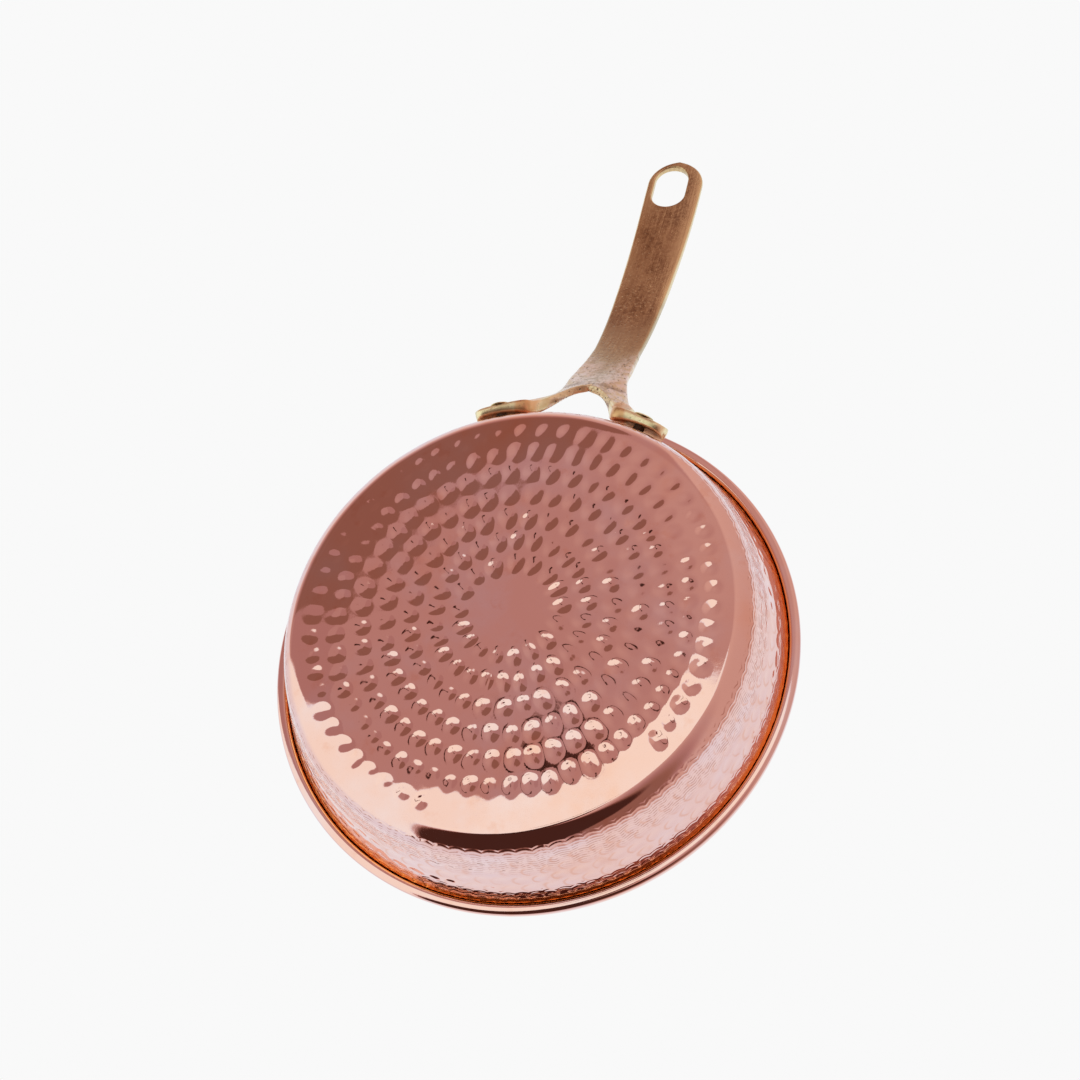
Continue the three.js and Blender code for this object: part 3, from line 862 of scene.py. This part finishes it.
def through(points, steps):
    """A smooth curve through points, as the solid handle's outline has."""
    points = [np.array(p, float) for p in points]
    out = []
    count = len(points) - 1
    for k in range(steps + 1):
        place_on = k / steps * count
        i = min(int(place_on), count - 1)
        w = place_on - i
        p0, p1, p2, p3 = (points[min(max(j, 0), count)] for j in (i - 1, i, i + 1, i + 2))
        v0, v1 = (p2 - p0) / 2, (p3 - p1) / 2
        cubic, square = 2 * p1 - 2 * p2 + v0 + v1, -3 * p1 + 3 * p2 - 2 * v0 - v1
        out.append(cubic * w ** 3 + square * w ** 2 + v0 * w + p1)
    return np.array(out)


width_curve = through([
    (root_length - root_back, root_width / 2 + root_splay), (root_length, root_width / 2),
    (neck_shares[0] * bar_length, neck_width / 2), (neck_shares[1] * bar_length, neck_width / 2),
    (grip_share * bar_length, grip_width / 2), (bar_length, grip_width / 2)], 120)


def half_width_at(s):
    body = np.interp(s, width_curve[:, 0], width_curve[:, 1])
    into_tip = min(max(0.0, s - tip_start) / tip_reach, 1.0)
    return body * math.sqrt(1 - into_tip ** 2)


def thickness_at(s):
    half = bar_length / 2
    if s < half:
        return mix(crotch_thickness, grip_thickness, s / half)
    return mix(grip_thickness, tip_thickness, (s - half) / half)


def underside(slope):
    return np.array([math.sin(slope), 0, -math.cos(slope)])


def bar_station(middle_at, edge_at):
    mx, mz, m_slope = bar_line(middle_at)
    ex, ez, e_slope = bar_line(edge_at)
    half = half_width_at(edge_at)
    return dict(a=np.array([mx, 0, mz]), b=np.array([ex, half, ez]),
                na=underside(m_slope), nb=underside(e_slope),
                ta=thickness_at(middle_at), tb=thickness_at(edge_at) * edge_share,
                round_a=0.0, round_b=min(edge_rounding, half / 2))


slot_middle = bar_length - slot_to_tip - slot_length / 2
slot_radius = slot_width / 2
slot_straight = slot_length / 2 - slot_radius
slot_field = slot_middle - slot_length / 2 - slot_margin


def bar_stations(web_steps=14, step=1.6):
    stations = []
    for i in range(web_steps):
        stations.append(bar_station(web_end * i / web_steps, mix(root_length, web_end, i / web_steps)))
    count = round((slot_field - web_end) / step)
    for s in np.linspace(web_end, slot_field, count + 1):
        stations.append(bar_station(s, s))
    return stations


def bezier(p0, p1, p2, p3, t):
    u = 1 - t
    return u ** 3 * p0 + 3 * u * u * t * p1 + 3 * u * t * t * p2 + t ** 3 * p3


def arm_stations(steps=30):
    end = bar_station(0, root_length)
    inner_start = foot_point(foot_low_start, foot_low, foot_thickness)
    outer_start = foot_point(foot_high_start, foot_high, foot_thickness)
    inner = (inner_start, inner_start + (arch_lean, -arch_draw, arch_lift),
             np.array([end["a"][0], arch_half_width, end["a"][2]]), end["a"])
    outer = (outer_start, outer_start + (heel_lean, -heel_draw, -heel_drop),
             end["b"] + (-arm_back, arm_spread, arm_rise), end["b"])
    stations = []
    for i in range(1, steps + 1):
        t = i / steps
        turn = smooth_step(t)
        stations.append(dict(
            a=bezier(*inner, t), na=unit(mix(foot_normal(foot_low_start), end["na"], turn)),
            b=bezier(*outer, t), nb=unit(mix(foot_normal(foot_high_start), end["nb"], turn)),
            ta=mix(foot_thickness, end["ta"], smooth_step(t, 0, arm_thin_share)),
            tb=mix(foot_thickness, end["tb"], 1 - (1 - t) ** 2),
            round_a=mix(foot_rounding, 0, t), round_b=mix(foot_rounding, end["round_b"], t)))
    return stations


def section_of(st):
    """The under side, outer edge, top and inner edge of a station, as lists of points."""
    width = np.linalg.norm(st["a"] - st["b"])
    low, high = st["round_a"] / width, 1 - st["round_b"] / width
    shares = [mix(low, high, k / (columns - 1)) for k in range(columns)]

    def at(share, depth):
        thickness = mix(st["ta"], st["tb"], share * share)
        normal = unit(mix(st["na"], st["nb"], share))
        return mix(st["a"], st["b"], share) + normal * thickness / 2 * depth

    def edge(rounding, thickness, share_at):
        deep = 2 * rounding / thickness
        bend = [(share_at(reach), 1 - deep * drop) for reach, drop in fillet[1:]]
        return [at(s, d) for s, d in bend] + [at(s, -d) for s, d in reversed(bend)]

    outer = edge(st["round_b"], st["tb"], lambda f: 1 - st["round_b"] / width * f)
    inner = edge(st["round_a"], st["ta"], lambda f: st["round_a"] / width * f)
    return dict(under=[at(s, 1) for s in shares], outer=outer,
                top=[at(s, -1) for s in reversed(shares)], inner=inner[::-1])


def mirrored(points):
    return [p * (1, -1, 1) for p in points]


def arm_ring(st):
    half = section_of(st)
    return half["under"] + half["outer"] + half["top"] + half["inner"]


def bar_ring(st):
    half = section_of(st)
    return (mirrored(half["under"])[::-1] + half["under"][1:] + half["outer"] + half["top"]
            + mirrored(half["top"])[::-1][1:] + mirrored(half["outer"])[::-1])


def band_faces(lines, points, faces, order=(0, 1, 2, 3), closed=True, ringed=False):
    """Quads between neighbouring lines of points, their four corners taken in an order."""
    start, count, size = len(points), len(lines), len(lines[0])
    for line in lines:
        points.extend(line)
    for i in range(count if closed else count - 1):
        a, b = start + i * size, start + (i + 1) % count * size
        for k in range(size if ringed else size - 1):
            after = (k + 1) % size
            corners = (a + k, a + after, b + after, b + k)
            faces.append(tuple(corners[n] for n in order))


def bar_surface(s, w, depth):
    """A point of the bar past the web: its length along, width from the middle and depth."""
    x, z, slope = bar_line(s)
    half = max(half_width_at(s), least_half_width)
    share = min(abs(w) / half, 1.0)
    thickness = thickness_at(s) * mix(1, edge_share, share ** 2)
    return np.array([x, w, z]) + underside(slope) * thickness / 2 * depth


def both_sides(bend):
    """The points of a bend on the bar's under side, and back over its top."""
    return [bar_surface(*p) for p in bend] + [bar_surface(s, w, -d) for s, w, d in reversed(bend)]


def slot_plate(points, faces, rings=7, side_steps=30, tip_steps=19):
    """The end of the grip round the slot, from the field's first cross line to the tip."""
    half = half_width_at(slot_field)
    high = 1 - edge_rounding / half
    cross = [mix(-high, high, k / (2 * (columns - 1))) * half for k in range(2 * columns - 1)]
    tip_turn = np.linspace(0, math.pi / 2, tip_steps)[1:]
    edge_line = list(np.linspace(slot_field, tip_start, side_steps))
    edge_line += [tip_start + tip_reach * math.sin(a) for a in tip_turn]
    outline = [(s, 1.0, half_width_at(s)) for s in edge_line]
    outline += [(s, -1.0, h) for s, sign, h in outline[-2::-1]]
    loop = [(s, sign * (h - min(edge_rounding, h / 2))) for s, sign, h in outline]
    loop += [(slot_field, w) for w in cross[1:-1]]
    spokes = []
    for s, w in loop:
        near = min(max(s, slot_middle - slot_straight), slot_middle + slot_straight)
        spokes.append((np.array([near, slot_offset]), unit(np.array([s - near, w - slot_offset]))))
    for sign, order in ((1, (3, 2, 1, 0)), (-1, (0, 1, 2, 3))):
        plate = []
        for end, (middle, away) in zip(loop, spokes):
            start, end = middle + away * (slot_radius + slot_rounding), np.array(end)
            plate.append([bar_surface(*mix(start, end, k / rings), sign) for k in range(rings + 1)])
        band_faces(plate, points, faces, order)
    wall = []
    for middle, away in spokes:
        top, bottom = (bar_surface(*(middle + away * slot_radius), sign) for sign in (1, -1))
        deep = 2 * slot_rounding / np.linalg.norm(top - bottom)
        bend = [(*(middle + away * (slot_radius + slot_rounding * reach)), 1 - deep * drop)
                for reach, drop in fillet]
        wall.append(both_sides(bend))
    band_faces(wall, points, faces, (0, 3, 2, 1))
    rim = []
    for s, sign, h in outline:
        inset = min(edge_rounding, h / 2)
        deep = 2 * min(edge_rounding, max(inset, least_edge_rounding)) / (thickness_at(s) * edge_share)
        bend = [(s, sign * (h - inset * reach), 1 - deep * drop) for reach, drop in fillet]
        rim.append(both_sides(bend))
    band_faces(rim, points, faces, closed=False)


def make_pit_group():
    """The skin that the sand leaves: a rough height with small pits in it."""
    tree, given, out = new_group(
        "sand cast skin", {"Grain": 900.0, "Pits": 480.0, "Pit Share": 0.34},
        {"Height": 0.0, "Pit Mask": 0.0})
    position = object_point(tree)
    cells = {"Vector": position, "Scale": given["Pits"], "Randomness": 1.0}
    pits = lay(tree, "ShaderNodeTexVoronoi", cells, "Distance")
    reach = given["Pit Share"] * (noise(position, 130.0, 3.0) * 1.6)
    mask = ease(pits, reach, reach * 0.4)
    feed(out, {"Height": noise(position, given["Grain"], 4.0) - mask, "Pit Mask": mask})
    return tree


brass_dark = (0.36, 0.20, 0.10)
brass_brown = (0.60, 0.36, 0.18)
brass_gold = (0.84, 0.58, 0.30)
brass_pale = (0.90, 0.69, 0.57)
brass_foot = (0.98, 0.76, 0.45)
brass_olive = (0.50, 0.38, 0.16)
brass_red = (0.86, 0.42, 0.18)
brass_stain = (0.22, 0.14, 0.08)
# The places, in metres, between which the brass changes: its sides, lighter with a painted highlight
# along the filed edges, the pale fork, a band of painted shade over the neck, the inside of the arch,
# painted bright as a highlight by which way it faces, with a painted shade line along its edge, the
# feet and the roots of the arms.
side_highlight_from, side_highlight_waver, side_highlight_share = (0.0085, 0.0145), 0.0015, 0.85
fork_bend, fork_slant, fork_waver, fork_from = 0.006, -1.6, -0.012, (0.166, 0.134)
neck_shade_near, neck_shade_far, neck_shade_share = (0.134, 0.158), (0.204, 0.186), 0.62
arch_end, arch_side, inward_lean, inward_drop = (0.139, 0.134), (0.022, 0.018), -0.4, -0.9
arch_highlight_facing, arch_highlight_share = (0.5, 0.6), 0.9
arch_shade_in, arch_shade_out, arch_shade_share = (0.4, 0.47), (0.58, 0.5), 0.7
foot_from, olive_share = (0.0225, 0.0195), 0.35
root_in, root_out, root_top, root_share = (0.017, 0.019), (0.0275, 0.0255), (0.0275, 0.0235), 0.85
foot_polish, foot_calm = -0.85, -0.75


def make_brass():
    material, tree, shader = make_metal("cast brass", brass_gold, 0.36)
    x, y, z = split(object_point(tree))
    aside = abs(y)
    cloud = tone(tree, 38.0, 0.35, 0.65)
    brushed = tone(tree, 60.0, 0.3, 0.7, stretch=(0.35, 9.0, 2.0))
    worn = tone(tree, 520.0, 0.4, 0.62) * 0.45 + brushed * 0.3
    # Painted highlight: lighter gold towards both sides of the bar, along its filed edges.
    side_highlight = ease(cloud * side_highlight_waver + aside, *side_highlight_from) * side_highlight_share
    along = cloud * fork_waver + ((aside - fork_bend) * fork_slant + x)
    fork = ease(along, *fork_from)
    # Painted shade: a band along the neck is darkened.
    neck_shade = band(along, neck_shade_near, neck_shade_far) * neck_shade_share
    pale = fork * (tone(tree, 330.0, 0.38, 0.58) * 0.75 + 0.25)
    # Painted highlight and shade by which way the surface faces: the arch's inner face, turned in and
    # down, is painted bright gold, and a band just short of it is painted dark as a shade line along
    # the arch's edge.
    facing = split(lay(tree, "ShaderNodeTexCoord", output="Normal"))
    inward = facing[0] * inward_lean + facing[2] * inward_drop
    by_arch = ease(x, *arch_end) * ease(aside, *arch_side)
    arch_edge_shade = band(inward, arch_shade_in, arch_shade_out) * by_arch * arch_shade_share
    arch_highlight = ease(inward, *arch_highlight_facing) * by_arch * arch_highlight_share
    foot = ease(z, *foot_from)
    root = band(aside, root_in, root_out) * ease(z, *root_top) * root_share
    olive = tone(tree, 95.0, 0.45, 0.62) * foot * olive_share
    skin, pits = use_group(tree, make_pit_group())
    cast = fork * (foot * foot_polish + 1.0)
    pitted = pits * (cast * 0.75 + 0.1)
    colour = coated(
        brass_dark, (cloud, brass_brown), (worn, brass_gold), (side_highlight, brass_gold), (neck_shade, brass_dark),
        (pale, brass_pale), (arch_edge_shade, brass_dark), (arch_highlight, brass_foot), (foot, brass_foot),
        (root, brass_red), (olive, brass_olive), (pitted, brass_stain))
    dull = foot * 0.1 + (cloud * 0.12 + (cast * 0.18 + 0.2))
    relief = (brushed * 0.25 + skin * (cast * 0.8 + 0.2)) * (foot * foot_calm + 1.0)
    finish_metal(shader, colour, dull, relief, 0.0003)
    return material


def make_handle():
    arm_rings = [arm_ring(st) for st in foot_stations() + arm_stations()]
    points, faces = [], []
    for rings in (arm_rings, [mirrored(ring)[::-1] for ring in arm_rings]):
        toe = range(len(points), len(points) + len(rings[0]))
        band_faces(rings, points, faces, closed=False, ringed=True)
        faces.append(tuple(toe)[::-1])
    bar_rings = [bar_ring(st) for st in bar_stations()]
    band_faces(bar_rings, points, faces, closed=False, ringed=True)
    slot_plate(points, faces)
    mesh = new_mesh("brass_handle", points, faces)
    cast = bmesh.new()
    cast.from_mesh(mesh)
    bmesh.ops.remove_doubles(cast, verts=cast.verts, dist=2e-6)
    bmesh.ops.dissolve_degenerate(cast, edges=cast.edges, dist=1e-7)
    bmesh.ops.recalc_face_normals(cast, faces=cast.faces)
    fork = [v for v in cast.verts if v.co.x < fork_reach]
    for i in range(fork_softenings):
        bmesh.ops.smooth_vert(cast, verts=fork, factor=0.5,
                              use_axis_x=True, use_axis_y=True, use_axis_z=True)
    cast.to_mesh(mesh)
    cast.free()
    mesh.materials.append(make_brass())
    shade_smooth(mesh)
    handle = new_object(mesh)
    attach(handle, "root")
    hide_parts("handle")


make_handle()


# Rivets
# Two brass rivets, one through the middle of each foot. Each has a turned head inside the
# pan and is hammered over to a low dome outside.
rivet_arc = 33.5
shank_radius = 2.6
head_radius, head_height, head_seat, hammered_height = 4.6, 1.7, 0.3, 1.0
shank_dark = (0.10, 0.06, 0.04)


def make_rivet_brass():
    material, tree, shader = make_metal("hammered rivet brass", brass_foot, 0.3)
    cloud = tone(tree, 160.0, 0.4, 0.65)
    shank = lay(tree, "ShaderNodeAttribute", output="Fac", attribute_name="shank")
    colour = coated(brass_foot, (cloud, brass_olive), (shank, shank_dark))
    cells = {"Vector": object_point(tree), "Scale": 420.0}
    facets = lay(tree, "ShaderNodeTexVoronoi", cells, "Distance")
    finish_metal(shader, colour, shank * 0.4 + (cloud * 0.2 + 0.24), facets, 0.0002, 0.7)
    return material


def make_rivets():
    material = make_rivet_brass()
    inside = -(sheet + lining_clearance + lining + head_seat)
    share = (foot_end - rivet_arc) / (foot_end - foot_low_start)
    lean = foot_lean * (1 / 2 + head_radius / foot_height)
    outside = foot_clearance + lean + mix(toe_thickness, foot_thickness, share)
    arcs = np.radians(np.linspace(0, 90, 9))
    dome = np.stack([head_radius * np.sin(arcs), np.cos(arcs)], 1)
    section = [(r, inside - head_height * h) for r, h in dome]
    shank_row = len(section)
    section += [(shank_radius, inside), (shank_radius, outside)]
    section += [(r, outside + hammered_height * h) for r, h in dome[::-1]]
    for name, side in (("rivet_left", -1), ("rivet_right", 1)):
        mesh, rows = turn_section(name + "_dome", section, 48, closed=False)
        on_shank = np.zeros(len(mesh.vertices))
        on_shank[np.concatenate(rows[shank_row:shank_row + 2])] = 1
        set_attribute(mesh, "shank", on_shank)
        across = Matrix.Rotation(side * angle_of(rivet_arc), 4, "Z")
        out = Matrix.Translation((wall_radius(rivet_height) / 1000, 0, rivet_height / 1000))
        mesh.transform(across @ out @ Matrix.Rotation(math.pi / 2 + wall_tilt, 4, "Y"))
        mesh.materials.append(material)
        shade_smooth(mesh)
        rivet = new_object(mesh)
        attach(rivet, "root")
        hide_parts(name)


make_rivets()
